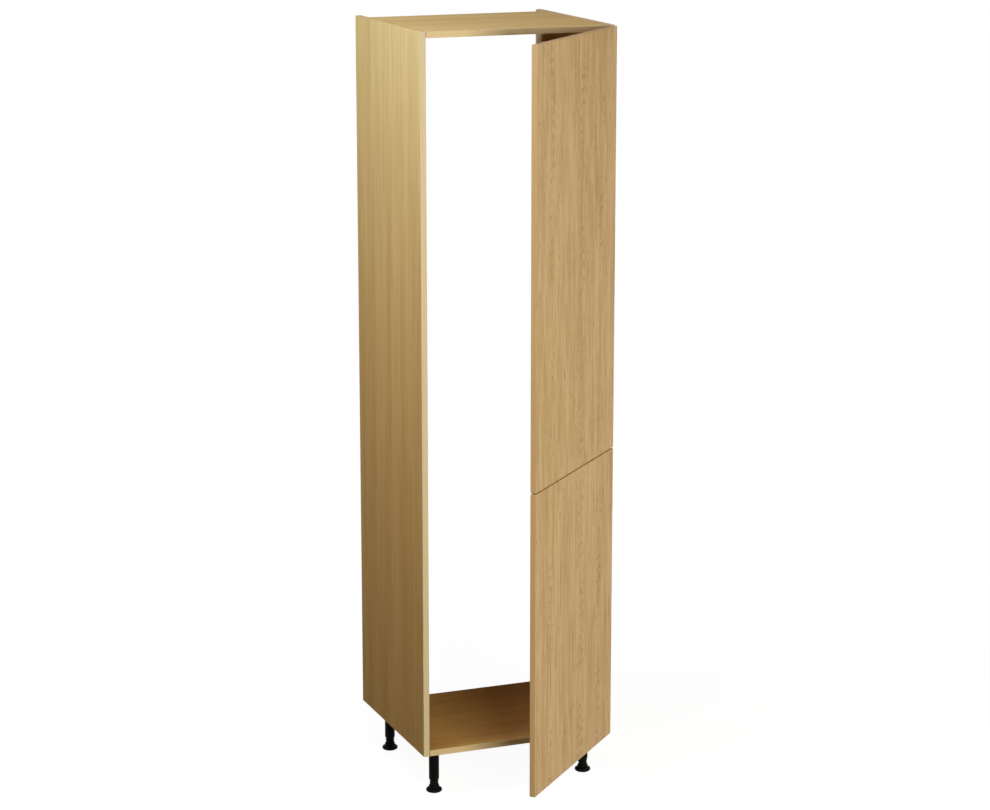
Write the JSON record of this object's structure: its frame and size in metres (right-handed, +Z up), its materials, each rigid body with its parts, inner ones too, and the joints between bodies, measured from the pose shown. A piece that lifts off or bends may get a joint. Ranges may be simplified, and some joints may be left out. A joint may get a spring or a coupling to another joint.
{
  "type": "fridge housing unit",
  "caption": "Tall open-backed board housing for a built-in fridge freezer, with slab doors on concealed hinges, ventilation gaps at the rear, and adjustable legs.",
  "frame": {"origin": "on the floor, below the middle of the box around the whole unit with its doors standing 45 degrees open", "axes": "+Z up, -Y the front where the doors are, +X the hinge side"},
  "size_m": [0.6, 0.9938, 2.288],
  "materials": {
    "carcass_board": "satin wood-effect melamine, light oak",
    "door_board": "satin wood-effect melamine, light oak, edges banded alike",
    "black_plastic": "black moulded plastic, slight sheen",
    "nickel_plate": "nickel-plated pressed steel",
    "zinc_plate": "zinc-plated steel",
    "cast_zinc": "die-cast zinc",
    "beech": "bare beech"
  },
  "bodies": {
    "carcass": {"left_side_panel": "carcass_board", "right_side_panel": "carcass_board", "top_panel": "carcass_board", "bottom_panel": "carcass_board", "bottom_left_front_cam": "cast_zinc", "bottom_left_front_cam_bolt": "zinc_plate", "bottom_left_rear_cam": "cast_zinc", "bottom_left_rear_cam_bolt": "zinc_plate", "bottom_left_dowel": "beech", "bottom_right_front_cam": "cast_zinc", "bottom_right_front_cam_bolt": "zinc_plate", "bottom_right_rear_cam": "cast_zinc", "bottom_right_rear_cam_bolt": "zinc_plate", "bottom_right_dowel": "beech", "top_left_front_cam": "cast_zinc", "top_left_front_cam_bolt": "zinc_plate", "top_left_rear_cam": "cast_zinc", "top_left_rear_cam_bolt": "zinc_plate", "top_left_dowel": "beech", "top_right_front_cam": "cast_zinc", "top_right_front_cam_bolt": "zinc_plate", "top_right_rear_cam": "cast_zinc", "top_right_rear_cam_bolt": "zinc_plate", "top_right_dowel": "beech", "front_left_leg_socket": "black_plastic", "front_left_leg_tube": "black_plastic", "front_right_leg_socket": "black_plastic", "front_right_leg_tube": "black_plastic", "rear_left_leg_socket": "black_plastic", "rear_left_leg_tube": "black_plastic", "rear_right_leg_socket": "black_plastic", "rear_right_leg_tube": "black_plastic", "upper_hinge_1_arm": "nickel_plate", "upper_hinge_1_plate": "nickel_plate", "upper_hinge_2_arm": "nickel_plate", "upper_hinge_2_plate": "nickel_plate", "upper_hinge_3_arm": "nickel_plate", "upper_hinge_3_plate": "nickel_plate", "lower_hinge_1_arm": "nickel_plate", "lower_hinge_1_plate": "nickel_plate", "lower_hinge_2_arm": "nickel_plate", "lower_hinge_2_plate": "nickel_plate"},
    "upper_hinge_links": {"upper_hinge_1_link": "nickel_plate", "upper_hinge_2_link": "nickel_plate", "upper_hinge_3_link": "nickel_plate"},
    "upper_door": {"upper_door": "door_board", "upper_hinge_1_cup": "nickel_plate", "upper_hinge_2_cup": "nickel_plate", "upper_hinge_3_cup": "nickel_plate"},
    "lower_hinge_links": {"lower_hinge_1_link": "nickel_plate", "lower_hinge_2_link": "nickel_plate"},
    "lower_door": {"lower_door": "door_board", "lower_hinge_1_cup": "nickel_plate", "lower_hinge_2_cup": "nickel_plate"},
    "front_left_foot": {"front_left_leg_foot": "black_plastic"},
    "front_right_foot": {"front_right_leg_foot": "black_plastic"},
    "rear_left_foot": {"rear_left_leg_foot": "black_plastic"},
    "rear_right_foot": {"rear_right_leg_foot": "black_plastic"}
  },
  "joints": [
    {"name": "upper_link_turn", "type": "hinge", "parent": "carcass", "child": "upper_hinge_links", "pos_m": [0.266, -0.07362, 1.662], "axis": [0, 0, 1], "range_deg": [-12.5, 11.25]},
    {"name": "upper_door_turn", "type": "hinge", "parent": "upper_hinge_links", "child": "upper_door", "pos_m": [0.2855, -0.07811, 1.662], "axis": [0, 0, 1], "range_deg": [-56.25, 62.5]},
    {"name": "lower_link_turn", "type": "hinge", "parent": "carcass", "child": "lower_hinge_links", "pos_m": [0.266, -0.07362, 0.5875], "axis": [0, 0, 1], "range_deg": [-12.5, 11.25]},
    {"name": "lower_door_turn", "type": "hinge", "parent": "lower_hinge_links", "child": "lower_door", "pos_m": [0.2855, -0.07811, 0.5875], "axis": [0, 0, 1], "range_deg": [-56.25, 62.5]},
    {"name": "front_left_foot_height", "type": "slide", "parent": "carcass", "child": "front_left_foot", "axis": [0, 0, -1], "range_m": [-0.014, 0.025]},
    {"name": "front_right_foot_height", "type": "slide", "parent": "carcass", "child": "front_right_foot", "axis": [0, 0, -1], "range_m": [-0.014, 0.025]},
    {"name": "rear_left_foot_height", "type": "slide", "parent": "carcass", "child": "rear_left_foot", "axis": [0, 0, -1], "range_m": [-0.014, 0.025]},
    {"name": "rear_right_foot_height", "type": "slide", "parent": "carcass", "child": "rear_right_foot", "axis": [0, 0, -1], "range_m": [-0.014, 0.025]}
  ],
  "couplings": [
    {"joint": "upper_link_turn", "follows": "upper_door_turn", "ratio": -0.2},
    {"joint": "lower_link_turn", "follows": "lower_door_turn", "ratio": -0.2}
  ]
}
